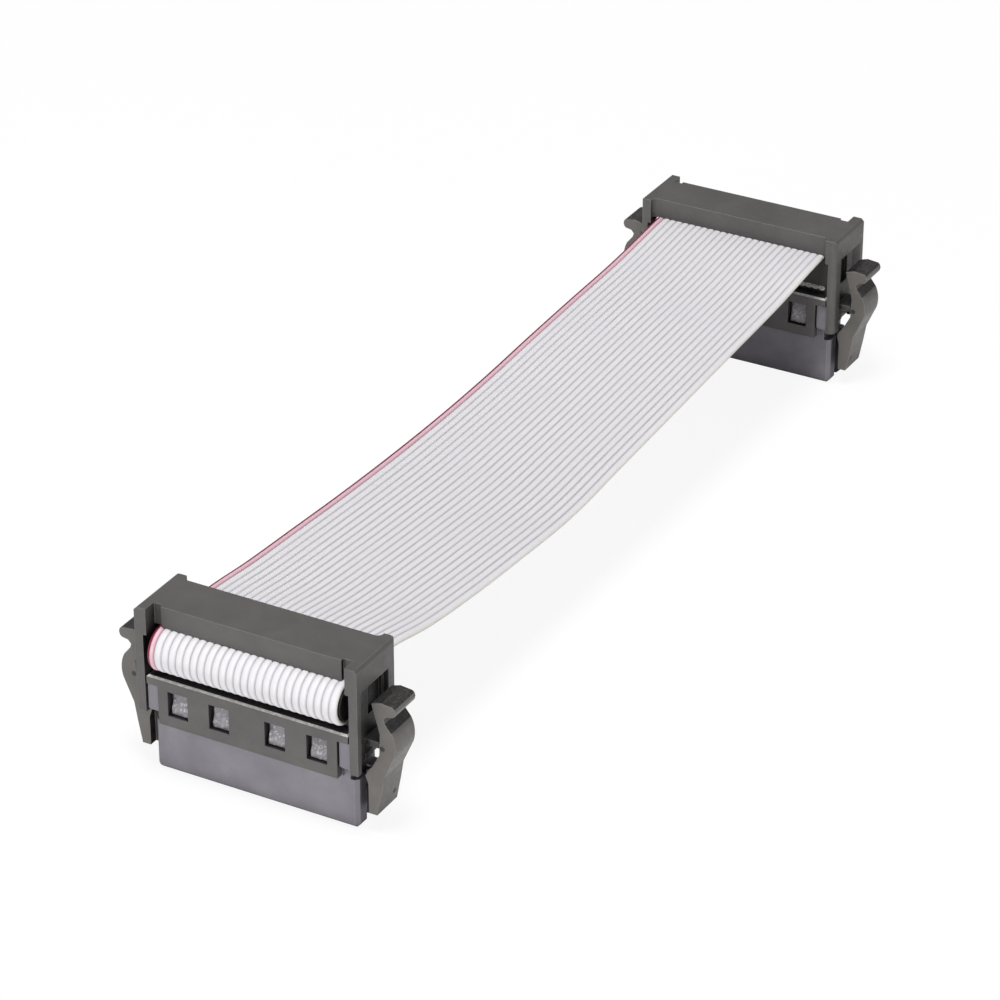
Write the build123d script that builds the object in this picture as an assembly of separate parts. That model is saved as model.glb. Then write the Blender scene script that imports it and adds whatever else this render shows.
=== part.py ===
from build123d import *
import math
import os

os.makedirs("parts", exist_ok=True)

# Flat ribbon cable with a latching two-row socket at each end. Millimetres, +Z up.
# X runs along the sockets, Y runs from the near socket to the far one, Z = 0 is the mating plane.
# Each connector is drawn about its own middle: the ribbon folds at -Y and leaves at +Y.

# Pin grid: each column of two pins takes two neighbouring wires
column_count = 13
wire_pitch = 1.27
contact_pitch = 2 * wire_pitch
row_y = contact_pitch / 2
wire_offset = wire_pitch / 2
wire_count = 2 * column_count
half_ribbon = wire_count * wire_pitch / 2
column_positions = [(n - (column_count - 1) / 2) * contact_pitch for n in range(column_count)]

# Lengths along X, from the ribbon's edge outwards
wire_diameter = 0.9
cheek_clearance = 0.1
cheek_thickness = 0.95
block_overhang = 0.09
body_overhang = 0.25
wall_thickness = 1.45
wall_step = 0.6
recess_floor_thickness = 0.55
hinge_reach = 2.5
cheek_inner_x = half_ribbon + cheek_clearance
cheek_outer_x = cheek_inner_x + cheek_thickness
block_half_length = cheek_outer_x + block_overhang
body_half_length = block_half_length + body_overhang
wall_inner_x = body_half_length
wall_outer_x = wall_inner_x + wall_thickness
wall_upper_inner_x = wall_inner_x - wall_step
recess_floor_x = wall_inner_x + recess_floor_thickness
hinge_x = wall_outer_x + hinge_reach
skirt_inset = 0.8
skirt_half_length = half_ribbon - skirt_inset
post_clearance = 0.2
post_inner_x = skirt_half_length + post_clearance
post_outer_x = body_half_length - post_clearance

# Depths along Y, from the end walls inwards
wall_depth = 11.5
half_depth = wall_depth / 2
block_inset = 0.05
block_half_depth = half_depth - block_inset
skirt_thickness = 1.35
skirt_clearance = 0.15
upper_body_half_depth = block_half_depth - skirt_thickness - skirt_clearance
post_half_depth = block_half_depth - 0.35
body_half_depth = 3.55
bar_front_y = -half_depth + 1.85
bar_back_y = half_depth - 1.15
cover_back_y = half_depth - 1.9
cut_end_y = half_depth - 2.1

# Heights of the socket body and the contact block
wall_bottom_z = 11.05
shoulder_z = 9.2
body_top_z = 16.05
block_gap = 0.1
band_height = 1.55
saddle_height = 0.55
skirt_bottom_z = 9.6
block_bottom_z = body_top_z + block_gap
block_top_z = block_bottom_z + band_height
saddle_top_z = block_top_z + saddle_height
saddle_half_depth = 3.25

# Ribbon: its centre line folds at each connector and sags between them
web_thickness = 0.36
fold_radius = 3.2
fold_overhang = 1.4
lower_run_z = saddle_top_z + wire_diameter / 2
upper_run_z = lower_run_z + 2 * fold_radius
fold_y = -half_depth - fold_overhang + wire_diameter / 2 + fold_radius
connector_distance = 164.2
near_y = -connector_distance / 2
far_y = connector_distance / 2
exit_bend_y = half_depth + 1.85
exit_bend_radius = 12.0
near_slope_y = half_depth + 18.35
near_slope_drop = 2.25
far_slope_y = half_depth + 15.75
far_slope_drop = 1.6
slope_radius = 25.0
sag_y = -14.4
sag_drop = 5.2
sag_radius = 120.0

# Lean of the ribbon about its own line, towards the marked wire's side, in degrees
near_slope_lean = 3.0
sag_lean = 5.0

# Strain relief
bar_clearance = 0.05
bar_height = 3.55
bar_bottom_z = upper_run_z + wire_diameter / 2 + bar_clearance
wall_top_z = bar_bottom_z + bar_height
wall_step_z = upper_run_z - wire_diameter / 2
bar_pocket_depth = 0.6
bar_pocket_width = 1.6
ear_fillet = 1.0
wall_edge = 0.5
tongue_top_z = 14.5

# Groove and latch notch in each end of the socket body, and the wall's tongue in the groove
groove_half_width = 1.1
groove_depth = 1.25
notch_bottom_z = 8.6
floor_bottom_z = 12.7
tongue_clearance = 0.05

# Latch lever and the recess of the wall that it turns in
lever_half_width = 2.9
lever_cheek = 0.5
recess_front_y = -lever_half_width - 0.3
recess_back_y = lever_half_width + 0.5
recess_slope = 1.55
recess_top_z = 25.0
recess_window_y = (-1.15, 2.9)
recess_window_z = (19.2, 24.4)

# Hinge: a web from the wall ends in a bead that the lever closes round
hinge_z = 15.1
web_half_width = 2.3
hinge_web_thickness = 1.0
neck_thickness = 0.5
neck_length = 0.9
bead_radius = 0.55
seat_clearance = 0.07
mouth_half_angle = 45

# Lever outline, measured from the hinge: outwards, then up
foot = (-2.5, -12.0)
foot_outer = (-1.05, -12.0)
shank_outer = (-0.3, -8.1)
bulge = [(0.2, -5.1), (1.95, -1.1), (2.2, 0.6), (1.6, 3.05)]
notch = [(0.45, 4.5), (0.25, 5.15), (0.75, 5.75)]
tab_tip = [(1.85, 5.95), (2.2, 6.25), (2.35, 6.85), (2.2, 7.4), (1.85, 7.7)]
tab_top = (-0.2, 7.9)
tab_inner = (-1.75, 7.4)
lever_back = [(-0.4, 2.4), (-0.55, -1.25)]
hook = [(-1.75, -3.55), (-2.4, -4.5), (-3.0, -5.5), (-2.5, -7.0)]
nose_half_width = 1.45
nose = [(-2.4, -12.0), (-2.4, -4.5), (-3.75, -5.8), (-3.15, -6.6), (-3.15, -12.0)]

# Windows of the skirt and the snap bumps of the body in them
window_inset = 3.5
window_spacing = 7.3
window_width = 3.55
outer_window_x = skirt_half_length - window_inset
inner_window_x = outer_window_x - window_spacing
window_positions = (-outer_window_x, -inner_window_x, inner_window_x, outer_window_x)
window_z = (11.45, 15.7)
bump_height = 0.85
bump_z = (11.6, 12.5, 13.7)
bump_half_width = 1.45

# Small edges
body_edge = 0.6
block_edge = 0.3

# Pin holes
pin_hole = 0.9
lead_in = 1.6
lead_in_depth = 0.8
chamber_width = 1.8
chamber_depth = 1.6

# Contacts
contact_thickness = 0.35
contact_half_width = 0.75
contact_bottom_z = 2.2
fork_half_width = 0.6
fork_slot_half_width = 0.25
fork_slot_bottom_z = saddle_top_z - 0.3
fork_bottom_z = block_bottom_z + 0.5
fork_top_z = lower_run_z + 1.15
waist_top_z = body_top_z - 0.3
jaw_half_gap = 0.32
jaw_top_z = 8.7
slot_clearance = 0.12

# Pressing cover
cover_clearance = 0.05
cheek_front_y = -2.9
cheek_top_gap = 0.4
fork_trough_half_width = 0.45
fork_trough_clearance = 0.4


def block(x, y, z):
    """Box between pairs of limits along each axis."""
    size = (x[1] - x[0], y[1] - y[0], z[1] - z[0])
    middle = ((x[0] + x[1]) / 2, (y[0] + y[1]) / 2, (z[0] + z[1]) / 2)
    return Pos(*middle) * Box(*size)


def prism_along_y(points, half_width):
    """Outline in the XZ plane, given thickness evenly about Y = 0."""
    face = Plane.XZ * make_face(Polyline(*points, close=True))
    return extrude(face, amount=half_width, both=True)


def prism_along_x(points, half_length):
    """Outline in the YZ plane, given length evenly about X = 0."""
    face = Plane.YZ * make_face(Polyline(*points, close=True))
    return extrude(face, amount=half_length, both=True)


def both_ends(shape):
    """The shape and its mirror image at the connector's other end."""
    return shape + mirror(shape, Plane.YZ)


def make_socket_body():
    body_x = (-body_half_length, body_half_length)
    body_y = (-body_half_depth, body_half_depth)
    lower = block(body_x, body_y, (0, wall_bottom_z))
    rim = lower.edges().group_by(Axis.Z)[0] + lower.edges().filter_by(Axis.Z)
    body = chamfer(rim, body_edge)
    core_x = (-post_outer_x, post_outer_x)
    body += block(core_x, body_y, (wall_bottom_z, body_top_z))
    middle_x = (-skirt_half_length, skirt_half_length)
    middle_y = (-upper_body_half_depth, upper_body_half_depth)
    body += block(middle_x, middle_y, (shoulder_z, body_top_z))
    post_y = (-post_half_depth, post_half_depth)
    post = block((post_inner_x, post_outer_x), post_y, (wall_bottom_z, body_top_z))
    post = chamfer(post.edges().group_by(Axis.Z)[0].filter_by(Axis.X), body_edge)
    body += both_ends(post)
    groove_x = (body_half_length - groove_depth, body_half_length + 1)
    groove_y = (-groove_half_width, groove_half_width)
    body -= both_ends(block(groove_x, groove_y, (-1, body_top_z + 1)))
    notch_y = (-body_half_depth - 1, body_half_depth + 1)
    body -= both_ends(block(groove_x, notch_y, (notch_bottom_z, wall_bottom_z)))

    face = upper_body_half_depth
    low, crest, high = bump_z
    wedge = [(face, low), (face + bump_height, low), (face + bump_height, crest), (face, high)]
    bump = prism_along_x(wedge, bump_half_width)
    bump += mirror(bump, Plane.XZ)
    body += [Pos(x, 0, 0) * bump for x in window_positions]

    slope = math.degrees(math.atan2((lead_in - pin_hole) / 2, lead_in_depth))
    cavity = extrude(Rectangle(lead_in, lead_in), amount=lead_in_depth, taper=slope)
    chamber_height = body_top_z - lead_in_depth
    chamber = extrude(Rectangle(chamber_width, chamber_depth), amount=chamber_height)
    cavity += Pos(0, 0, lead_in_depth) * chamber
    spots = [Pos(x, y, 0) * cavity for x in column_positions for y in (-row_y, row_y)]
    return body - spots


def make_contact_block():
    band_x = (-block_half_length, block_half_length)
    band_y = (-block_half_depth, block_half_depth)
    band = block(band_x, band_y, (block_bottom_z, block_top_z))
    body = chamfer(band.edges().group_by(Axis.Z)[-1], block_edge)
    saddle_y = (-saddle_half_depth, saddle_half_depth)
    body += block((-half_ribbon, half_ribbon), saddle_y, (block_top_z, saddle_top_z))
    skirt_x = (-skirt_half_length, skirt_half_length)
    skirt_y = (block_half_depth - skirt_thickness, block_half_depth)
    skirt = block(skirt_x, skirt_y, (skirt_bottom_z, block_bottom_z))
    half = window_width / 2
    window = block((-half, half), (0, block_half_depth + 1), window_z)
    skirt -= [Pos(x, 0, 0) * window for x in window_positions]
    body += skirt + mirror(skirt, Plane.XZ)
    slot_end_x = column_positions[-1] + wire_offset + fork_half_width + slot_clearance
    slot_half_y = contact_thickness / 2 + slot_clearance
    slot_y = (row_y - slot_half_y, row_y + slot_half_y)
    slot = block((-slot_end_x, slot_end_x), slot_y, (block_bottom_z - 1, saddle_top_z + 1))
    return body - slot - mirror(slot, Plane.XZ)


def make_contacts(side):
    """One row: each blade forks round its wire above and grips a pin below."""
    wire_x = side * wire_offset
    fork_left = wire_x - fork_half_width
    fork_right = wire_x + fork_half_width
    blade = [
        (fork_left, fork_bottom_z),
        (fork_left, fork_top_z),
        (wire_x - fork_slot_half_width, fork_top_z),
        (wire_x, fork_slot_bottom_z),
        (wire_x + fork_slot_half_width, fork_top_z),
        (fork_right, fork_top_z),
        (fork_right, fork_bottom_z),
        (contact_half_width, waist_top_z),
        (contact_half_width, contact_bottom_z),
        (jaw_half_gap, contact_bottom_z),
        (jaw_half_gap, jaw_top_z),
        (-jaw_half_gap, jaw_top_z),
        (-jaw_half_gap, contact_bottom_z),
        (-contact_half_width, contact_bottom_z),
        (-contact_half_width, waist_top_z),
    ]
    contact = prism_along_y(blade, contact_thickness / 2)
    return Compound([Pos(x, side * row_y, 0) * contact for x in column_positions])


def make_pressing_cover():
    lower_z = lower_run_z + wire_diameter / 2 + cover_clearance
    upper_z = upper_run_z - wire_diameter / 2 - cover_clearance
    middle_z = (lower_z + upper_z) / 2
    nose_y = fold_y - (upper_z - lower_z) / 2
    outline = Line((cover_back_y, lower_z), (fold_y, lower_z))
    outline += ThreePointArc((fold_y, lower_z), (nose_y, middle_z), (fold_y, upper_z))
    outline += Polyline((fold_y, upper_z), (cover_back_y, upper_z), (cover_back_y, lower_z))
    cover = extrude(Plane.YZ * make_face(outline), amount=cheek_inner_x, both=True)
    trough_y = (row_y - fork_trough_half_width, row_y + fork_trough_half_width)
    trough_z = (lower_z - 1, fork_top_z + fork_trough_clearance)
    trough = block((-cheek_inner_x, cheek_inner_x), trough_y, trough_z)
    cover -= [trough, mirror(trough, Plane.XZ)]
    cheek_z = (block_top_z, upper_z - cheek_top_gap)
    cheek = block((cheek_inner_x, cheek_outer_x), (cheek_front_y, cover_back_y), cheek_z)
    return cover + both_ends(cheek)


def make_hinge_web():
    """Flat web from the recess floor, a thinner neck and the bead along Y at its end."""
    web_y = (-web_half_width, web_half_width)
    neck_x = hinge_x - neck_length
    half_web = hinge_web_thickness / 2
    half_neck = neck_thickness / 2
    web = block((recess_floor_x, neck_x), web_y, (hinge_z - half_web, hinge_z + half_web))
    web += block((neck_x, hinge_x), web_y, (hinge_z - half_neck, hinge_z + half_neck))
    bead = Cylinder(bead_radius, 2 * web_half_width, rotation=(90, 0, 0))
    return web + Pos(hinge_x, 0, hinge_z) * bead


def make_strain_relief():
    wall_y = (-half_depth, half_depth)
    wall = block((wall_inner_x, wall_outer_x), wall_y, (wall_bottom_z, wall_top_z))
    wall += block((wall_upper_inner_x, wall_inner_x), wall_y, (wall_step_z, wall_top_z))
    outer = wall.faces().sort_by(Axis.X)[-1]
    wall = chamfer(outer.edges().sort_by(Axis.Z)[-1], wall_edge)
    uprights = wall.edges().filter_by(Axis.Z).sort_by(Axis.X)[-2:]
    wall = fillet(uprights.sort_by(Axis.Y)[-1], ear_fillet)

    tongue_x = (body_half_length - groove_depth, wall_inner_x)
    tongue_half = groove_half_width - tongue_clearance
    wall += block(tongue_x, (-tongue_half, tongue_half), (wall_bottom_z, tongue_top_z))

    pocket = [
        (wall_outer_x, recess_front_y - recess_slope),
        (recess_floor_x, recess_front_y),
        (recess_floor_x, recess_back_y),
        (wall_outer_x, recess_back_y),
    ]
    pocket_height = recess_top_z - wall_bottom_z
    recess = extrude(make_face(Polyline(*pocket, close=True)), amount=pocket_height)
    wall -= Pos(0, 0, wall_bottom_z) * recess
    window_x = (wall_upper_inner_x, recess_floor_x)
    wall -= block(window_x, recess_window_y, recess_window_z)
    opening_y = (recess_front_y, recess_back_y)
    wall -= block((wall_inner_x, recess_floor_x), opening_y, (wall_bottom_z, floor_bottom_z))
    wall += make_hinge_web()

    bar_x = (-wall_upper_inner_x, wall_upper_inner_x)
    bar = block(bar_x, (bar_front_y, bar_back_y), (bar_bottom_z, wall_top_z))
    bar_pocket_x = (wall_upper_inner_x - bar_pocket_width, wall_upper_inner_x)
    bar_pocket_y = (bar_front_y, bar_front_y + bar_pocket_depth)
    bar -= both_ends(block(bar_pocket_x, bar_pocket_y, (bar_bottom_z, wall_top_z)))
    body = bar + both_ends(wall)
    corners = body.edges().filter_by(Axis.Z)
    return fillet(corners.filter_by_position(Axis.Y, bar_back_y - 0.01, bar_back_y + 0.01), ear_fillet)


def make_lever():
    """Lever at +X about its hinge; a closed cheek on each side of the seat holds the bead."""
    outline = Polyline(foot, foot_outer, shank_outer, bulge[0], bulge[1])
    outline += ThreePointArc(*bulge[1:])
    outline += Polyline(bulge[-1], *notch, *tab_tip, tab_top, tab_inner, *lever_back, *hook, foot)
    lever = extrude(Plane.XZ * make_face(outline), amount=lever_half_width, both=True)
    lever += prism_along_y(nose, nose_half_width)

    seat_half_width = lever_half_width - lever_cheek
    seat = Cylinder(bead_radius + seat_clearance, 2 * seat_half_width, rotation=(90, 0, 0))
    spread = hinge_reach * math.tan(math.radians(mouth_half_angle))
    corners = [(0, 0), (-hinge_reach, spread), (-hinge_reach, -spread)]
    mouth = prism_along_y(corners, seat_half_width)
    return Pos(hinge_x, 0, hinge_z) * (lever - seat - mouth)


def ribbon_path():
    """Centre line in the YZ plane from the near cut end to the far one: ends, folds and span."""
    near_fold = near_y + fold_y
    far_fold = far_y - fold_y
    middle_z = lower_run_z + fold_radius
    corners = [
        (0, near_fold, upper_run_z),
        (0, near_y + exit_bend_y, upper_run_z),
        (0, near_y + near_slope_y, upper_run_z - near_slope_drop),
        (0, sag_y, upper_run_z - sag_drop),
        (0, far_y - far_slope_y, upper_run_z - far_slope_drop),
        (0, far_y - exit_bend_y, upper_run_z),
        (0, far_fold, upper_run_z),
    ]
    radii = [exit_bend_radius, slope_radius, sag_radius, slope_radius, exit_bend_radius]
    near_turn = [
        (0, near_fold, lower_run_z),
        (0, near_fold - fold_radius, middle_z),
        (0, near_fold, upper_run_z),
    ]
    far_turn = [
        (0, far_fold, upper_run_z),
        (0, far_fold + fold_radius, middle_z),
        (0, far_fold, lower_run_z),
    ]
    near_end = [Line((0, near_y + cut_end_y, lower_run_z), near_turn[0]), ThreePointArc(*near_turn)]
    far_end = [ThreePointArc(*far_turn), Line(far_turn[-1], (0, far_y - cut_end_y, lower_run_z))]
    return near_end + far_end, FilletPolyline(*corners, radius=radii).edges()


def band_outline(first, last):
    """Plain cross-section of neighbouring wires, for the folds and the cut ends."""
    left = (first - wire_count / 2) * wire_pitch
    right = (last + 1 - wire_count / 2) * wire_pitch
    half = wire_diameter / 2
    return make_face(Polyline((left, -half), (right, -half), (right, half), (left, half), close=True))


def ridged_outline(first, last):
    """Cross-section of neighbouring wires with a ridge above and below each, for the span."""
    web = web_thickness / 2
    half = wire_diameter / 2
    upper = []
    for number in range(first, last + 1):
        x = (number - wire_count / 2) * wire_pitch
        upper += [(x, web), (x + wire_offset, half)]
    upper.append((upper[-1][0] + wire_offset, web))
    lower = [(x, -height) for x, height in reversed(upper)]
    return make_face(Polyline(*upper, *lower, close=True))


def carry(outline, path, leans):
    """The outline carried along the path, leaning as it goes: bends are revolved, runs lofted."""
    stretches = []
    for edge, lean, next_lean in zip(path, leans, leans[1:]):
        sections = []
        for spot, angle in ((0, lean), (1, next_lean)):
            level = Plane(origin=edge @ spot, x_dir=(1, 0, 0), z_dir=edge % spot)
            sections.append(level * Rot(0, 0, angle) * outline)
        if edge.geom_type == GeomType.LINE:
            stretches.append(loft(sections, ruled=True))
        else:
            turn = (edge @ 0 - edge.arc_center).cross(edge % 0)
            angle = math.degrees(edge.length / edge.radius)
            stretches.append(revolve(sections[0], Axis(edge.arc_center, turn), angle))
    return stretches


def make_wires(first, last):
    ends, span = ribbon_path()
    bend_leans = (0, near_slope_lean, sag_lean, 0, 0)
    leans = [0] + [lean for lean in bend_leans for side in (0, 1)] + [0]
    stretches = carry(band_outline(first, last), ends, [0] * (len(ends) + 1))
    stretches += carry(ridged_outline(first, last), span, leans)
    return stretches[0].fuse(*stretches[1:])


near_place = Pos(0, near_y, 0)
far_place = Pos(0, far_y, 0) * Rot(0, 0, 180)

lever = make_lever()
pieces = {
    "socket_body": make_socket_body(),
    "contact_block": make_contact_block(),
    "pressing_cover": make_pressing_cover(),
    "strain_relief": make_strain_relief(),
    "latch_lever_left": mirror(lever, Plane.YZ),
    "latch_lever_right": lever,
    "contacts_fold_row": make_contacts(-1),
    "contacts_cable_row": make_contacts(1),
}
for name, piece in pieces.items():
    export_step(near_place * piece, f"parts/near_{name}.step")
    export_step(far_place * piece, f"parts/far_{name}.step")

export_step(make_wires(0, 0), "parts/marked_wire.step")
export_step(make_wires(1, wire_count - 1), "parts/ribbon.step")
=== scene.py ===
import math

import bpy
import numpy as np
from mathutils import Matrix, Vector


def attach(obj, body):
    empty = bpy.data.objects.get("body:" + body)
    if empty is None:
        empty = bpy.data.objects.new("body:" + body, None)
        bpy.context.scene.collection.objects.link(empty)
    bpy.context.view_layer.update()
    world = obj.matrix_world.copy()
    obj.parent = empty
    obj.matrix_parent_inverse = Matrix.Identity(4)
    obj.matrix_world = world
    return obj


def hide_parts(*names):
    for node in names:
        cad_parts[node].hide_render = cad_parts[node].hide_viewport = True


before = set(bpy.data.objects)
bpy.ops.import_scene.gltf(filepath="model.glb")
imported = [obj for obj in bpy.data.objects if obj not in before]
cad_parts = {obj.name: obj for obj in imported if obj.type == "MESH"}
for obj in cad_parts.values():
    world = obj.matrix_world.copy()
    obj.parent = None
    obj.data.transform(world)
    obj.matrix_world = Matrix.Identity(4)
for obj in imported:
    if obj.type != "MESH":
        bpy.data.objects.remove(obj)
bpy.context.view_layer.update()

MM = 0.001

# Camera, placed by the photograph: turned to the object's front right, above it. The offset is the place of the
# near wall's front, at the floor and half way along, in the camera's own axes: right, down and forward, in metres.
AZIMUTH = math.radians(29.13)
ELEVATION = math.radians(29.23)
LENS_MM = 148.8
SENSOR_MM = 36.0
NEAR_WALL_Y = -0.08785
CAMERA_OFFSET = np.array([-0.037778, 0.045866, 0.622310])

# Ribbon, as the CAD has it, in millimetres
WIRE_COUNT = 26
WIRE_PITCH = 1.27
WIRE_RADIUS = 0.45
WEB_HALF = 0.17
FOLD_RADIUS = 3.2
LOWER_RUN_Z = 18.7
UPPER_RUN_Z = 25.1
FOLD_Y = 85.6
CUT_END_Y = 78.45
FOLD_ROWS = 25
RUN_ROWS = 5
SPAN_ROWS = 167

# Span of the ribbon: place along Y, height of its middle, and its lean towards the marked wire in radians
SPAN = np.array([
    (-85.6, 25.10, 0.000),
    (-76.0, 25.10, 0.000),
    (-73.0, 24.85, 0.010),
    (-61.5, 23.20, 0.050),
    (-48.0, 22.00, 0.076),
    (-33.7, 21.05, 0.085),
    (-14.4, 20.30, 0.092),
    (0.0, 20.70, 0.058),
    (14.4, 21.30, 0.040),
    (28.8, 22.10, 0.036),
    (43.3, 22.85, 0.026),
    (60.6, 23.70, 0.010),
    (73.0, 24.85, 0.000),
    (76.0, 25.10, 0.000),
    (85.6, 25.10, 0.000),
])

# Connectors and their levers, as the CAD has them, in millimetres
CONNECTOR_Y = 82.1
HINGE_X = 21.85
HINGE_Z = 15.1
LEVER_HALF_WIDTH = 2.9
# Height above which the lever's painted shade starts.
LEVER_NOTCH_Z = 18.15
# Height above which the contact block's painted highlight and painted shade start.
BLOCK_EDGE_Z = 17.3
BODY_FACE_DEPTH = 4.2
WINDOW_X = (-12.21, -4.91, 4.91, 12.21)

# Marks and catches that the CAD leaves to the scene, in millimetres
CONDUCTOR_RADIUS = 0.19
CONDUCTOR_HEIGHT = 0.05
MARK_RADIUS = 0.42
MARK_HEIGHT = 0.04
GATE_INSET = 0.66
GATE_OFFSET = 1.6
GATE_DROP = 10.0
GATE_TILT = -0.19
CATCH_HALF_WIDTH = 1.62
CATCH_Z = (11.47, 15.3)
CATCH_HEIGHT = 0.96
CATCH_PIT_DEPTH = 0.035
CATCH_RIPPLES = ((7, 5), (-9, 8), (4, -13), (15, 3))
CATCH_COLUMNS = 25
CATCH_ROWS = 29

# Floor, just under the feet so that it doesn't share their plane, in metres
FLOOR_Z = -0.00005
FLOOR_HALF = 3.0
FLOOR_SHARE_SEEN_WHITE = 0.9
ROOM_STRENGTH = 0.36


def add_camera():
    """Level camera: its place is the offset, read in its own axes, turned back into the frame."""
    forward = np.array([
        -math.sin(AZIMUTH) * math.cos(ELEVATION),
        math.cos(AZIMUTH) * math.cos(ELEVATION),
        -math.sin(ELEVATION),
    ])
    right = np.cross(forward, [0.0, 0.0, 1.0])
    right /= np.linalg.norm(right)
    down = np.cross(forward, right)
    place = -(right * CAMERA_OFFSET[0] + down * CAMERA_OFFSET[1] + forward * CAMERA_OFFSET[2])
    place[1] += NEAR_WALL_Y
    data = bpy.data.cameras.new("camera")
    data.lens = LENS_MM
    data.sensor_width = SENSOR_MM
    data.clip_start = 0.01
    camera = bpy.data.objects.new("camera", data)
    turn = Matrix((right, -down, -forward)).transposed().to_4x4()
    camera.matrix_world = Matrix.Translation(Vector(place)) @ turn
    bpy.context.collection.objects.link(camera)
    bpy.context.scene.camera = camera


add_camera()


# Node helpers

def node(tree, kind, label, links=None, **values):
    """A node with its settings, its constant inputs and the sockets that feed it."""
    made = tree.nodes.new(kind)
    made.label = label
    for name, value in values.items():
        setattr(made, name, value)
    for name, source in (links or {}).items():
        socket = made.inputs[name]
        if isinstance(source, bpy.types.NodeSocket):
            tree.links.new(source, socket)
        else:
            socket.default_value = source
    return made


def colour_mix(tree, label, share, first, second):
    """The first colour where the share is 0, the second where it is 1."""
    return node(tree, "ShaderNodeMix", label, {0: share, 6: first, 7: second}, data_type="RGBA").outputs[2]


def spread(tree, label, value, low, high, to_low=0.0, to_high=1.0, **settings):
    """The value from low to high, spread over to_low to to_high and clamped there."""
    return node(tree, "ShaderNodeMapRange", label,
                {"Value": value, "From Min": low, "From Max": high, "To Min": to_low, "To Max": to_high},
                **settings).outputs["Result"]


def product(tree, label, first, second):
    """The product of two values."""
    return node(tree, "ShaderNodeMath", label, {0: first, 1: second}, operation="MULTIPLY").outputs[0]


def noise(tree, label, where, scale, detail, roughness=0.5, distortion=0.0):
    """Noise over the object's own place."""
    return node(tree, "ShaderNodeTexNoise", label,
                {"Vector": where, "Scale": scale, "Detail": detail, "Roughness": roughness,
                 "Distortion": distortion}).outputs["Fac"]


def new_group(name, inputs, outputs):
    """An empty shader node group with named sockets, (label, kind) each; returns it with its input sockets."""
    group = bpy.data.node_groups.new(name, "ShaderNodeTree")
    for label, kind in inputs:
        group.interface.new_socket(label, in_out="INPUT", socket_type=f"NodeSocket{kind}")
    for label, kind in outputs:
        group.interface.new_socket(label, in_out="OUTPUT", socket_type=f"NodeSocket{kind}")
    return group, group.nodes.new("NodeGroupInput").outputs


def close_group(group, sources):
    """Feeds the group's outputs, by name, and returns the group."""
    sink = group.nodes.new("NodeGroupOutput")
    for label, source in sources.items():
        group.links.new(source, sink.inputs[label])
    return group


def placed_group(tree, group, label, values):
    """The group placed in a material with its own values; returns its output sockets."""
    return node(tree, "ShaderNodeGroup", label, values, node_tree=group).outputs


def new_material(name):
    material = bpy.data.materials.new(name)
    material.use_nodes = True
    material.node_tree.nodes.clear()
    return material, material.node_tree


def close_material(material, shader):
    """Feeds the surface of the material with the shader, and returns the material."""
    tree = material.node_tree
    output = tree.nodes.new("ShaderNodeOutputMaterial")
    tree.links.new(shader.outputs[0], output.inputs["Surface"])
    return material


# Effects that several materials share

def moulded_skin_group():
    """Skin of a moulding: flow marks, scuffed gloss, worn edges with a painted highlight, painted shade in the
    crevices and a spark-eroded grain.

    The edge mask is how far the bevelled normal turns from the true one, times patchy scuffs: wear, and a painted
    highlight on the edges. The unshaded mask is the share of free sky within a few millimetres; where it is low
    the colour turns to painted shade.
    """
    group, given = new_group(
        "moulded_skin",
        [("Grain", "Float"), ("Edge radius", "Float")],
        [("Tone", "Float"), ("Gloss", "Float"), ("Edge", "Float"), ("Unshaded", "Float"), ("Normal", "Vector")],
    )
    where = node(group, "ShaderNodeTexCoord", "place").outputs["Object"]
    fine = noise(group, "spark grain", where, 9000.0, 2.0, 0.6)
    flow = noise(group, "flow marks", where, 160.0, 4.0, 0.55, 0.4)
    scuff = noise(group, "handling scuffs", where, 700.0, 5.0, 0.7, 1.2)
    rounded = node(group, "ShaderNodeBevel", "soft edges", {"Radius": given["Edge radius"]}, samples=6)
    true_normal = node(group, "ShaderNodeNewGeometry", "surface")
    turned = node(group, "ShaderNodeVectorMath", "edge turn",
                  {0: rounded.outputs["Normal"], 1: true_normal.outputs["Normal"]}, operation="DOT_PRODUCT")
    # Edge mask: wear, and a painted highlight on edges that catch the light.
    bared = spread(group, "edge mask", turned.outputs["Value"], 0.995, 0.88)
    patchy = spread(group, "patchy wear", scuff, 0.35, 0.6, 0.35, 1.0)
    # Painted shade: the colour darkens where little sky is open within a few millimetres.
    reach = node(group, "ShaderNodeAmbientOcclusion", "open sky", {"Distance": 0.0042}, samples=6)
    bump = node(group, "ShaderNodeBump", "grain relief",
                {"Strength": given["Grain"], "Distance": 0.00006, "Height": fine,
                 "Normal": rounded.outputs["Normal"]})
    return close_group(group, {
        "Tone": spread(group, "flow tone", flow, 0.3, 0.7),
        "Gloss": spread(group, "scuffed gloss", scuff, 0.35, 0.7),
        "Edge": product(group, "worn edge", bared, patchy),
        "Unshaded": spread(group, "out of the crevices", reach.outputs["AO"], 0.25, 0.85,
                       interpolation_type="SMOOTHSTEP"),
        "Normal": bump.outputs["Normal"],
    })


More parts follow.
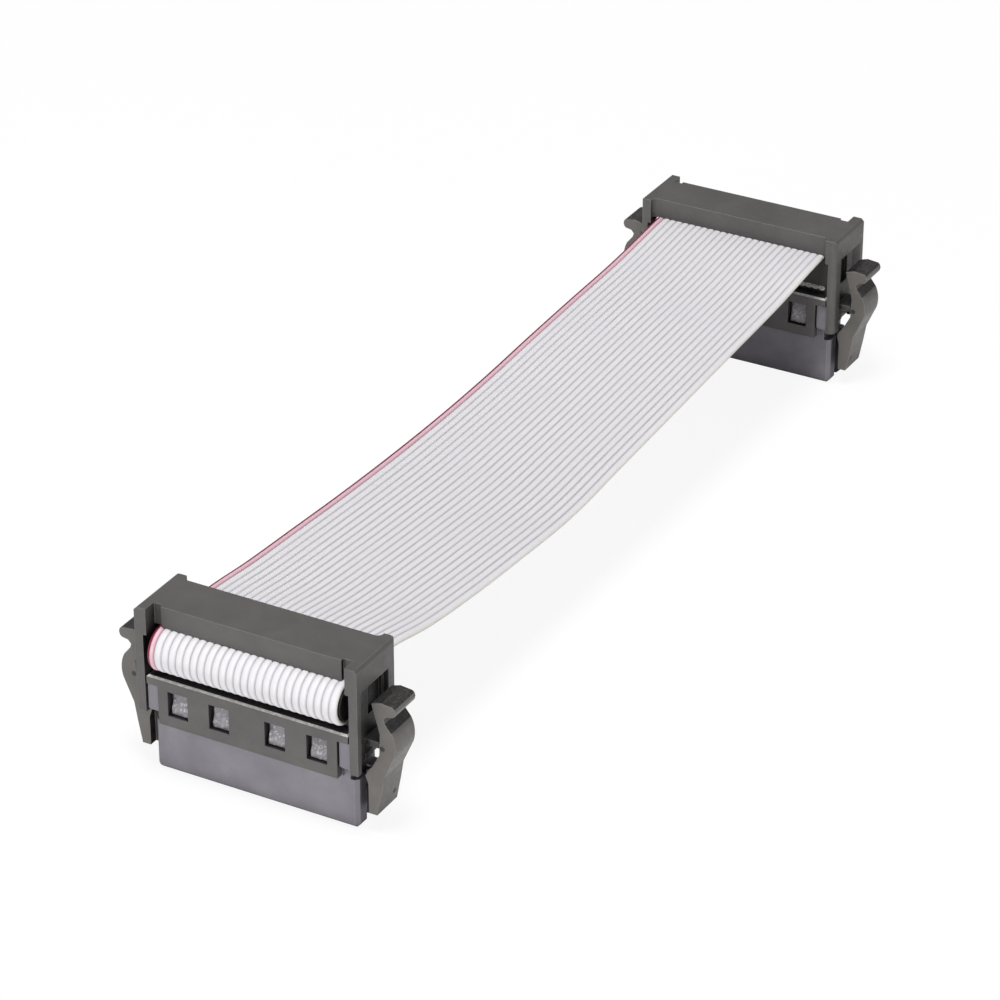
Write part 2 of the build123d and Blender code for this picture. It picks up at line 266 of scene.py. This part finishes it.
def painted_top_light_group():
    """Painted light on faces that look up above a height: a coarse speckle of two colours, painted shade where
    they are dark and a painted highlight where they are light; the plain colour elsewhere.

    The speckle's share is the height from Bottom to Full, times the normal's Z from Tilt from to Tilt to.
    """
    group, given = new_group(
        "painted_top_light",
        [("Plain", "Color"), ("Dark", "Color"), ("Light", "Color"), ("Bottom", "Float"), ("Full", "Float"),
         ("Tilt from", "Float"), ("Tilt to", "Float")],
        [("Colour", "Color")],
    )
    where = node(group, "ShaderNodeTexCoord", "place")
    height = node(group, "ShaderNodeSeparateXYZ", "height", {0: where.outputs["Object"]})
    facing = node(group, "ShaderNodeSeparateXYZ", "facing", {0: where.outputs["Normal"]})
    above = spread(group, "above", height.outputs["Z"], given["Bottom"], given["Full"])
    up = spread(group, "looks up", facing.outputs["Z"], given["Tilt from"], given["Tilt to"])
    pits = noise(group, "pits", where.outputs["Object"], 2600.0, 2.0, 0.7)
    speckle = colour_mix(group, "speckled tone", spread(group, "speckle", pits, 0.45, 0.7),
                         given["Dark"], given["Light"])
    return close_group(group, {
        "Colour": colour_mix(group, "upper faces", product(group, "both", above, up), given["Plain"], speckle),
    })


def vinyl_skin_group():
    """Skin of the wires: pale ridges, painted shade in the grooves, slow clouds and a tinted outer edge, with a
    fine grain.

    The piece's attribute ridge mixes the painted groove shade and the ridge colour; its attribute edge, from Edge
    from to Edge to, mixes in the edge's colour.
    """
    group, given = new_group(
        "vinyl_skin",
        [("Ridge", "Color"), ("Groove", "Color"), ("Cloud", "Color"), ("Edge", "Color"),
         ("Edge from", "Float"), ("Edge to", "Float")],
        [("Colour", "Color"), ("Roughness", "Float"), ("Normal", "Vector")],
    )
    depth = node(group, "ShaderNodeAttribute", "ridge height", attribute_name="ridge").outputs["Fac"]
    outer = node(group, "ShaderNodeAttribute", "way to the edge", attribute_name="edge").outputs["Fac"]
    where = node(group, "ShaderNodeTexCoord", "place").outputs["Object"]
    cloud = noise(group, "extrusion tone", where, 90.0, 3.0)
    fine = noise(group, "skin grain", where, 3500.0, 2.0)
    section = colour_mix(group, "groove_shade", depth, given["Groove"], given["Ridge"])
    toned = colour_mix(group, "tone", spread(group, "faint tone", cloud, 0.3, 0.7, 0.0, 0.35),
                       section, given["Cloud"])
    stripe = spread(group, "edge share", outer, given["Edge from"], given["Edge to"],
                    interpolation_type="SMOOTHSTEP")
    bump = node(group, "ShaderNodeBump", "grain relief", {"Strength": 0.15, "Distance": 0.00003, "Height": fine})
    return close_group(group, {
        "Colour": colour_mix(group, "edge tint", stripe, toned, given["Edge"]),
        "Roughness": spread(group, "roughness", fine, 0.0, 1.0, 0.42, 0.62),
        "Normal": bump.outputs["Normal"],
    })


def drawn_metal_group():
    """Skin of plated metal: blotches of two tones and fine marks drawn out along Z."""
    group, given = new_group(
        "drawn_metal",
        [("Bright", "Color"), ("Dull", "Color")],
        [("Colour", "Color"), ("Roughness", "Float"), ("Normal", "Vector")],
    )
    where = node(group, "ShaderNodeTexCoord", "place").outputs["Object"]
    stretch = node(group, "ShaderNodeMapping", "drawn grain", {"Vector": where, "Scale": (9000.0, 9000.0, 500.0)})
    grain = noise(group, "drawn marks", stretch.outputs["Vector"], 1.0, 3.0)
    blotch = noise(group, "plating tone", where, 900.0, 2.0)
    bump = node(group, "ShaderNodeBump", "marks relief", {"Strength": 0.2, "Distance": 0.00002, "Height": grain})
    return close_group(group, {
        "Colour": colour_mix(group, "tone", blotch, given["Bright"], given["Dull"]),
        "Roughness": spread(group, "roughness", grain, 0.0, 1.0, 0.22, 0.42),
        "Normal": bump.outputs["Normal"],
    })


MOULDED_SKIN = moulded_skin_group()
PAINTED_TOP_LIGHT = painted_top_light_group()
VINYL_SKIN = vinyl_skin_group()
DRAWN_METAL = drawn_metal_group()


# Materials

def moulded_plastic(name, crevice_shade, dark, light, worn_and_highlight, rough_low, rough_high, grain, edge_radius, *painted_tops):
    """Filled nylon: two close tones in slow flow marks, painted shade in the crevices, paler worn edges with a
    painted highlight, a fine spark grain.

    Each painted top is (dark, light, bottom in mm, tilt from, tilt to) of a speckle on the faces that look up:
    painted shade where its colours are dark, a painted highlight where they are light.
    """
    material, tree = new_material(name)
    skin = placed_group(tree, MOULDED_SKIN, "moulded skin", {"Grain": grain, "Edge radius": edge_radius})
    tone = colour_mix(tree, "tone", skin["Tone"], dark, light)
    # Painted shade in the crevices, by the unshaded mask.
    shaded = colour_mix(tree, "painted crevice shade", skin["Unshaded"], crevice_shade, tone)
    # Paler edges: partly wear, partly a painted highlight.
    colour = colour_mix(tree, "worn edges", skin["Edge"], shaded, worn_and_highlight)
    # Painted shade and painted highlights on the faces that look up, one for each painted top.
    for top_dark, top_light, bottom, tilt_from, tilt_to in painted_tops:
        colour = placed_group(tree, PAINTED_TOP_LIGHT, "painted top light", {
            "Plain": colour, "Dark": top_dark, "Light": top_light, "Bottom": bottom * MM,
            "Full": (bottom + 0.1) * MM, "Tilt from": tilt_from, "Tilt to": tilt_to})["Colour"]
    rough = spread(tree, "roughness", skin["Gloss"], 0.0, 1.0, rough_low, rough_high)
    shader = node(tree, "ShaderNodeBsdfPrincipled", "plastic",
                  {"Base Color": colour, "Roughness": rough, "Normal": skin["Normal"], "IOR": 1.53,
                   "Specular IOR Level": 0.5})
    return close_material(material, shader)


def vinyl(name, ridge, groove_shade, cloud, edge, edge_from, edge_to):
    """Soft wire insulation that lets a little light in under its skin."""
    material, tree = new_material(name)
    skin = placed_group(tree, VINYL_SKIN, "vinyl skin", {
        "Ridge": ridge, "Groove": groove_shade, "Cloud": cloud, "Edge": edge, "Edge from": edge_from,
        "Edge to": edge_to})
    shader = node(tree, "ShaderNodeBsdfPrincipled", "vinyl",
                  {"Base Color": skin["Colour"], "Roughness": skin["Roughness"], "Normal": skin["Normal"],
                   "IOR": 1.52, "Specular IOR Level": 0.4, "Subsurface Weight": 0.12,
                   "Subsurface Radius": (0.0006, 0.0005, 0.0005), "Subsurface Scale": 1.0})
    return close_material(material, shader)


def plated_metal(name, bright, dull):
    """Tinned metal: spring bronze of the contacts, or the wires' copper."""
    material, tree = new_material(name)
    skin = placed_group(tree, DRAWN_METAL, "drawn metal", {"Bright": bright, "Dull": dull})
    shader = node(tree, "ShaderNodeBsdfPrincipled", "metal",
                  {"Base Color": skin["Colour"], "Metallic": 1.0, "Roughness": skin["Roughness"],
                   "Normal": skin["Normal"]})
    return close_material(material, shader)


def rgb(red, green, blue):
    """A display colour, 0 to 255, as the linear colour that a shader takes."""
    def linear(value):
        value /= 255.0
        return value / 12.92 if value <= 0.04045 else ((value + 0.055) / 1.055) ** 2.4
    return (linear(red), linear(green), linear(blue), 1.0)


SOCKET_PLASTIC = moulded_plastic(
    "socket_plastic", rgb(80, 76, 83), rgb(106, 102, 110), rgb(124, 120, 127), rgb(148, 144, 150),
    0.42, 0.6, 0.35, 0.00018)
COVER_PLASTIC = moulded_plastic(
    "cover_plastic", rgb(16, 15, 15), rgb(71, 69, 68), rgb(81, 78, 77), rgb(122, 118, 115),
    0.42, 0.62, 0.4, 0.00018)
# Contact block: a painted highlight on its upper front chamfer, and painted shade on its top ledge under the fold.
BLOCK_PLASTIC = moulded_plastic(
    "block_plastic", rgb(14, 13, 14), rgb(71, 68, 68), rgb(82, 79, 78), rgb(92, 88, 87),
    0.42, 0.62, 0.4, 0.00015,
    (rgb(150, 146, 144), rgb(196, 192, 190), BLOCK_EDGE_Z, 0.4, 0.6),
    (rgb(16, 15, 16), rgb(30, 28, 29), BLOCK_EDGE_Z, 0.8, 0.95))
DARK_PLASTIC = moulded_plastic(
    "dark_plastic", rgb(12, 11, 10), rgb(30, 28, 27), rgb(38, 36, 34), rgb(60, 57, 54),
    0.42, 0.62, 0.4, 0.00015)
# Lever: painted shade on the faces that look up above the notch, the tab's top and the ledge under it.
LEVER_PLASTIC = moulded_plastic(
    "lever_plastic", rgb(18, 17, 16), rgb(82, 79, 76), rgb(95, 91, 88), rgb(136, 131, 126),
    0.4, 0.6, 0.4, 0.0002,
    (rgb(22, 20, 20), rgb(62, 59, 58), LEVER_NOTCH_Z, 0.2, 0.5))
# Snap catches: the socket plastic painted paler, as painted light, with a speckled painted highlight on faces that
# look up.
CATCH_PLASTIC_PAINTED_LIGHT = moulded_plastic(
    "catch_plastic_painted_light", rgb(88, 84, 90), rgb(114, 110, 117), rgb(150, 146, 151), rgb(192, 188, 192),
    0.38, 0.6, 0.9, 0.0001,
    (rgb(138, 134, 139), rgb(204, 200, 204), CATCH_Z[0], 0.15, 0.4))
CONTACT_METAL = plated_metal("contact_metal", rgb(205, 200, 190), rgb(160, 156, 148))
CONDUCTOR_COPPER = plated_metal("conductor_copper", rgb(206, 188, 172), rgb(172, 150, 134))
# Ribbon and marked wire: the second colour of each is painted shade in the grooves.
RIBBON_VINYL = vinyl("ribbon_vinyl", rgb(207, 205, 208), rgb(172, 171, 174), rgb(197, 196, 201),
                     rgb(202, 201, 196), 0.3, 1.0)
MARKED_VINYL = vinyl("marked_vinyl", rgb(202, 170, 181), rgb(164, 120, 133), rgb(198, 165, 176),
                     rgb(112, 24, 48), 0.0, 0.15)

NODE_MATERIALS = {
    "socket_body": SOCKET_PLASTIC,
    "contact_block": BLOCK_PLASTIC,
    "pressing_cover": DARK_PLASTIC,
    "strain_relief": COVER_PLASTIC,
    "latch_lever_left": LEVER_PLASTIC,
    "latch_lever_right": LEVER_PLASTIC,
    "contacts_fold_row": CONTACT_METAL,
    "contacts_cable_row": CONTACT_METAL,
}
for end in ("near", "far"):
    for part, material in NODE_MATERIALS.items():
        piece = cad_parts[f"{end}_{part}"]
        if not piece.material_slots:
            piece.data.materials.append(material)
        for slot in piece.material_slots:
            slot.material = material


def new_piece(name, points, faces, material, body):
    """A piece from points in millimetres and lists of their numbers, riding on its body."""
    mesh = bpy.data.meshes.new(name)
    mesh.from_pydata((points.reshape(-1, 3) * MM).tolist(), [], faces)
    mesh.update()
    mesh.materials.append(material)
    piece = bpy.data.objects.new(name, mesh)
    bpy.context.collection.objects.link(piece)
    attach(piece, body)
    return piece


# Ribbon

def through_points(places, values, at):
    """Smooth curve through points: cubic pieces whose slopes come from the neighbouring points."""
    slope = np.gradient(values, places)
    slope[0] = slope[-1] = 0.0
    k = np.clip(np.searchsorted(places, at, side="right") - 1, 0, len(places) - 2)
    h = places[k + 1] - places[k]
    t = (at - places[k]) / h
    return ((2 * t**3 - 3 * t**2 + 1) * values[k] + (t**3 - 2 * t**2 + t) * h * slope[k]
            + (-2 * t**3 + 3 * t**2) * values[k + 1] + (t**3 - t**2) * h * slope[k + 1])


def ribbon_line():
    """The whole centre line, cut end to cut end, as (y, z, lean) rows, y and z in millimetres.

    A straight run from the cut end, half a circle of the fold's radius, the span through its points, and the
    near fold and run again, mirrored.
    """
    turn = np.linspace(-math.pi / 2, math.pi / 2, FOLD_ROWS)
    middle_z = (LOWER_RUN_Z + UPPER_RUN_Z) / 2
    near_fold = np.column_stack((-FOLD_Y - FOLD_RADIUS * np.cos(turn),
                                 middle_z + FOLD_RADIUS * np.sin(turn), 0 * turn))
    run = np.linspace(CUT_END_Y, FOLD_Y, RUN_ROWS + 1)[:-1]
    near_run = np.column_stack((-run, np.full_like(run, LOWER_RUN_Z), 0 * run))
    y = np.linspace(-FOLD_Y, FOLD_Y, SPAN_ROWS + 2)[1:-1]
    span = np.column_stack((y, through_points(SPAN[:, 0], SPAN[:, 1], y),
                            through_points(SPAN[:, 0], SPAN[:, 2], y)))
    mirror = [-1.0, 1.0, 1.0]
    return np.vstack((near_run, near_fold, span, near_fold[::-1] * mirror, near_run[::-1] * mirror))


def wires_profile(first, last):
    """Section of neighbouring wires as (x, half thickness, ridge, edge) rows round the skin.

    Across one wire, with t from -1 to 1, half the thickness is web + (radius - web) sqrt(1 - t^2), and the ridge
    value falls from 1 at |t| = 0.5 to 0 at the web. The outer half of the ribbon's first and last wire closes
    instead, as radius sqrt(1 - t^2), and its edge value is |t|. The underside is the same, read backwards.
    """
    spots = np.array([-1.0, -0.96, -0.8, -0.5, 0.0, 0.5, 0.8, 0.96])
    number = np.arange(first, last + 1)
    place = np.append((number[:, None] + (1.0 + spots) / 2).ravel(), last + 1.0)
    t = np.append(np.tile(spots, len(number)), 1.0)
    bulge = np.sqrt(1.0 - t**2)
    outer = (place < 0.5) | (place > WIRE_COUNT - 0.5)
    half = np.where(outer, WIRE_RADIUS * bulge, WEB_HALF + (WIRE_RADIUS - WEB_HALF) * bulge)
    # The ridge value sets the painted groove shade: none on the crest, full at the web.
    ridge = np.where(outer, 1.0, np.clip((1.0 - np.abs(t)) / 0.5, 0.0, 1.0))
    edge = np.where(outer, np.abs(t), 0.0)
    upper = np.column_stack(((place - WIRE_COUNT / 2) * WIRE_PITCH, half, ridge, edge))
    lower = upper[::-1] * [1.0, -1.0, 1.0, 1.0]
    return np.vstack((upper, lower[lower[:, 1] < 0.0]))


def wires_surface(name, first, last, material):
    """The wires' profile carried along the centre line and leant about it.

    With the profile's place across and its offset, point = line(s) + (across cos l + offset sin l) along X
    + (offset cos l - across sin l) along the line's normal, where l is the lean there.
    """
    rows = ribbon_line()
    line, lean = rows[:, :2], rows[:, 2:]
    profile = wires_profile(first, last)
    step = np.gradient(line, axis=0)
    step /= np.linalg.norm(step, axis=1)[:, None]
    normal = np.column_stack((-step[:, 1], step[:, 0]))
    across, offset = profile[None, :, 0], profile[None, :, 1]
    x = across * np.cos(lean) + offset * np.sin(lean)
    rise = offset * np.cos(lean) - across * np.sin(lean)
    points = np.stack((x, line[:, 0:1] + normal[:, 0:1] * rise, line[:, 1:2] + normal[:, 1:2] * rise), axis=-1)
    length, around = x.shape
    i, j = np.meshgrid(np.arange(length - 1), np.arange(around), indexing="ij")
    i, j = i.ravel(), j.ravel()
    k = (j + 1) % around
    quads = np.column_stack((i * around + j, i * around + k, (i + 1) * around + k, (i + 1) * around + j))
    last_row = (length - 1) * around
    caps = [list(range(around)), list(range(last_row + around - 1, last_row - 1, -1))]
    piece = new_piece(name, points, quads.tolist() + caps, material, "cable")
    for column, label in ((2, "ridge"), (3, "edge")):
        values = piece.data.attributes.new(label, "FLOAT", "POINT")
        values.data.foreach_set("value", np.tile(profile[:, column], length).astype(np.float32))
    piece.data.shade_smooth()
    return piece


marked = wires_surface("marked_wire_insulation", 0, 0, MARKED_VINYL)
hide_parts("marked_wire")
plain = wires_surface("ribbon_insulation", 1, WIRE_COUNT - 1, RIBBON_VINYL)
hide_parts("ribbon")


# Small marks: conductor ends in the ribbon's two cuts, pivot ends and gate marks on the levers

def studs(name, centres, axes, radius, height, material, body):
    """Low round studs, one for each centre and axis, all in one piece.

    With u and v square to the axis n, point = centre + r (cos a u + sin a v) + h n; (r, h) runs through
    (R, -h), (R, 0.6 h), (0.8 R, h) and ends in the middle at (0, h).
    """
    centres = np.asarray(centres, float)
    axes = np.asarray(axes, float)
    axes = axes / np.linalg.norm(axes, axis=1)[:, None]
    side = np.cross(axes, np.where(np.abs(axes[:, 2:]) > 0.9, [1.0, 0.0, 0.0], [0.0, 0.0, 1.0]))
    side /= np.linalg.norm(side, axis=1)[:, None]
    cross = np.cross(axes, side)
    rings = np.array([(1.0, -1.0), (1.0, 0.6), (0.8, 1.0)])
    around = 16
    angle = np.linspace(0.0, 2.0 * math.pi, around, endpoint=False)[:, None, None]
    reach = (np.cos(angle) * side + np.sin(angle) * cross).transpose(1, 0, 2)
    skin = (centres[:, None, None] + radius * rings[None, :, None, 0:1] * reach[:, None]
            + height * rings[None, :, None, 1:2] * axes[:, None, None])
    tip = centres[:, None] + height * axes[:, None]
    points = np.concatenate((skin.reshape(len(centres), -1, 3), tip), axis=1)
    each = points.shape[1]
    j = np.arange(around)
    k = (j + 1) % around
    walls = np.concatenate([np.column_stack((r * around + j, r * around + k, (r + 1) * around + k,
                                             (r + 1) * around + j)) for r in (0, 1)])
    lid = np.column_stack((2 * around + j, 2 * around + k, np.full(around, 3 * around)))
    first = np.arange(len(centres))[:, None, None] * each
    faces = (first + walls[None]).reshape(-1, 4).tolist() + (first + lid[None]).reshape(-1, 3).tolist()
    faces += (first[:, :, 0] + j[::-1][None]).tolist()
    return new_piece(name, points, faces, material, body)


wire_x = (np.arange(WIRE_COUNT) + 0.5 - WIRE_COUNT / 2) * WIRE_PITCH
for end, sign in (("near", -1.0), ("far", 1.0)):
    cut = np.column_stack((wire_x, np.full(WIRE_COUNT, sign * CUT_END_Y), np.full(WIRE_COUNT, LOWER_RUN_Z)))
    studs(f"{end}_conductor_ends", cut, np.tile([0.0, -sign, 0.0], (WIRE_COUNT, 1)), CONDUCTOR_RADIUS,
          CONDUCTOR_HEIGHT, CONDUCTOR_COPPER, "cable")
    for hand, turn in (("left", sign), ("right", -sign)):
        pivots = [(turn * HINGE_X, sign * CONNECTOR_Y + side * LEVER_HALF_WIDTH, HINGE_Z) for side in (-1.0, 1.0)]
        gate = (turn * (HINGE_X - GATE_INSET), sign * (CONNECTOR_Y - GATE_OFFSET), HINGE_Z - GATE_DROP)
        studs(f"{end}_{hand}_lever_marks", pivots + [gate], [(0, -1, 0), (0, 1, 0), (turn, 0, GATE_TILT)],
              MARK_RADIUS, MARK_HEIGHT, DARK_PLASTIC, f"{end}_{hand}_lever")


# Snap catches of the socket body, seen in the windows of the skirt

def snap_catches(name, centre_y):
    """Rough crowned pads on the body's two long faces, one in each window of the skirt, in one piece.

    With u and v from -1 to 1 over a pad, its height is H r(v) (1 - u^12)^(1/4) (1 - v^12)^(1/4) plus pits, the
    sum of four crossed sine ripples that fades out at the rim. The ramp r is 1 at the foot and falls in a straight
    line to 0.4 between v = -0.5 and 0.25. The back is flat and lies in the body's face.
    """
    u, v = np.meshgrid(np.linspace(-1.0, 1.0, CATCH_COLUMNS), np.linspace(-1.0, 1.0, CATCH_ROWS), indexing="ij")
    crown = ((1.0 - u**12) * (1.0 - v**12)) ** 0.25
    ramp = np.interp(v, [-0.5, 0.25], [1.0, 0.4])
    low, high = CATCH_Z
    index = np.arange(u.size).reshape(u.shape)
    front = np.stack((index[:-1, :-1], index[1:, :-1], index[1:, 1:], index[:-1, 1:]), axis=-1).reshape(-1, 4)
    rim = np.concatenate((index[:-1, 0], index[-1, :-1], index[:0:-1, -1], index[0, :0:-1]))
    draw = np.random.default_rng(26)
    points, faces = [], []
    for side in (-1.0, 1.0):
        for middle in WINDOW_X:
            phase = draw.uniform(0.0, 2.0 * math.pi, len(CATCH_RIPPLES))
            pits = sum(np.sin(a * u + b * v + p) for (a, b), p in zip(CATCH_RIPPLES, phase))
            height = (CATCH_HEIGHT * ramp + CATCH_PIT_DEPTH * pits) * crown
            x = -side * (middle + CATCH_HALF_WIDTH * u)
            y = centre_y + side * (BODY_FACE_DEPTH + height)
            z = low + (high - low) * (1.0 + v) / 2.0
            first = len(points) * u.size
            points.append(np.stack((x, y, z), axis=-1))
            faces += (front + first).tolist() + [(rim[::-1] + first).tolist()]
    piece = new_piece(name, np.array(points), faces, CATCH_PLASTIC_PAINTED_LIGHT, "cable")
    piece.data.shade_smooth()


snap_catches("near_snap_catches", -CONNECTOR_Y)
snap_catches("far_snap_catches", CONNECTOR_Y)


# Floor, surroundings and lights

def add_floor():
    """A flat pale floor that takes the shadow; the camera sees most of it as plain white."""
    material, tree = new_material("pale_floor")
    where = node(tree, "ShaderNodeTexCoord", "place").outputs["Object"]
    tone = colour_mix(tree, "tone", noise(tree, "paper tone", where, 12.0, 3.0),
                      (0.83, 0.83, 0.83, 1.0), (0.87, 0.87, 0.87, 1.0))
    paper = node(tree, "ShaderNodeBsdfDiffuse", "paper", {"Color": tone})
    glow = node(tree, "ShaderNodeEmission", "white ground", {"Color": (1.0, 1.0, 1.0, 1.0), "Strength": 1.0})
    path = node(tree, "ShaderNodeLightPath", "seen directly")
    share = product(tree, "share", path.outputs["Is Camera Ray"], FLOOR_SHARE_SEEN_WHITE)
    mix = node(tree, "ShaderNodeMixShader", "ground", {0: share, 1: paper.outputs[0], 2: glow.outputs[0]})
    close_material(material, mix)
    mesh = bpy.data.meshes.new("floor")
    corners = [(x * FLOOR_HALF, y * FLOOR_HALF, FLOOR_Z) for x, y in ((-1, -1), (1, -1), (1, 1), (-1, 1))]
    mesh.from_pydata(corners, [], [(0, 1, 2, 3)])
    mesh.materials.append(material)
    floor = bpy.data.objects.new("floor", mesh)
    bpy.context.collection.objects.link(floor)


def add_world():
    """Pale surroundings that light evenly from all sides; the camera sees them white."""
    world = bpy.data.worlds.new("white_room")
    world.use_nodes = True
    tree = world.node_tree
    tree.nodes.clear()
    white = (1.0, 1.0, 1.0, 1.0)
    back = node(tree, "ShaderNodeBackground", "room", {"Color": white, "Strength": ROOM_STRENGTH})
    seen = node(tree, "ShaderNodeBackground", "white background", {"Color": white, "Strength": 1.0})
    path = node(tree, "ShaderNodeLightPath", "seen directly")
    mix = node(tree, "ShaderNodeMixShader", "background",
               {0: path.outputs["Is Camera Ray"], 1: back.outputs[0], 2: seen.outputs[0]})
    output = tree.nodes.new("ShaderNodeOutputWorld")
    tree.links.new(mix.outputs[0], output.inputs["Surface"])
    bpy.context.scene.world = world


def add_light(name, place, target, size, power):
    """A square white soft box at a place, facing a target; metres and watts."""
    data = bpy.data.lights.new(name, "AREA")
    data.shape = "SQUARE"
    data.size = size
    data.energy = power
    light = bpy.data.objects.new(name, data)
    light.location = place
    light.rotation_euler = (Vector(target) - Vector(place)).to_track_quat("-Z", "Y").to_euler()
    bpy.context.collection.objects.link(light)


add_floor()
add_world()
add_light("top_softbox", (0.04, -0.20, 0.95), (0.0, 0.0, 0.01), 0.25, 8.4)
add_light("low_front_fill", (0.02, -0.95, 0.10), (0.0, -0.05, 0.01), 0.08, 3.4)
add_light("low_side_fill", (0.85, -0.30, 0.12), (0.0, 0.0, 0.01), 0.3, 0.9)

bpy.context.scene.view_settings.view_transform = "Standard"
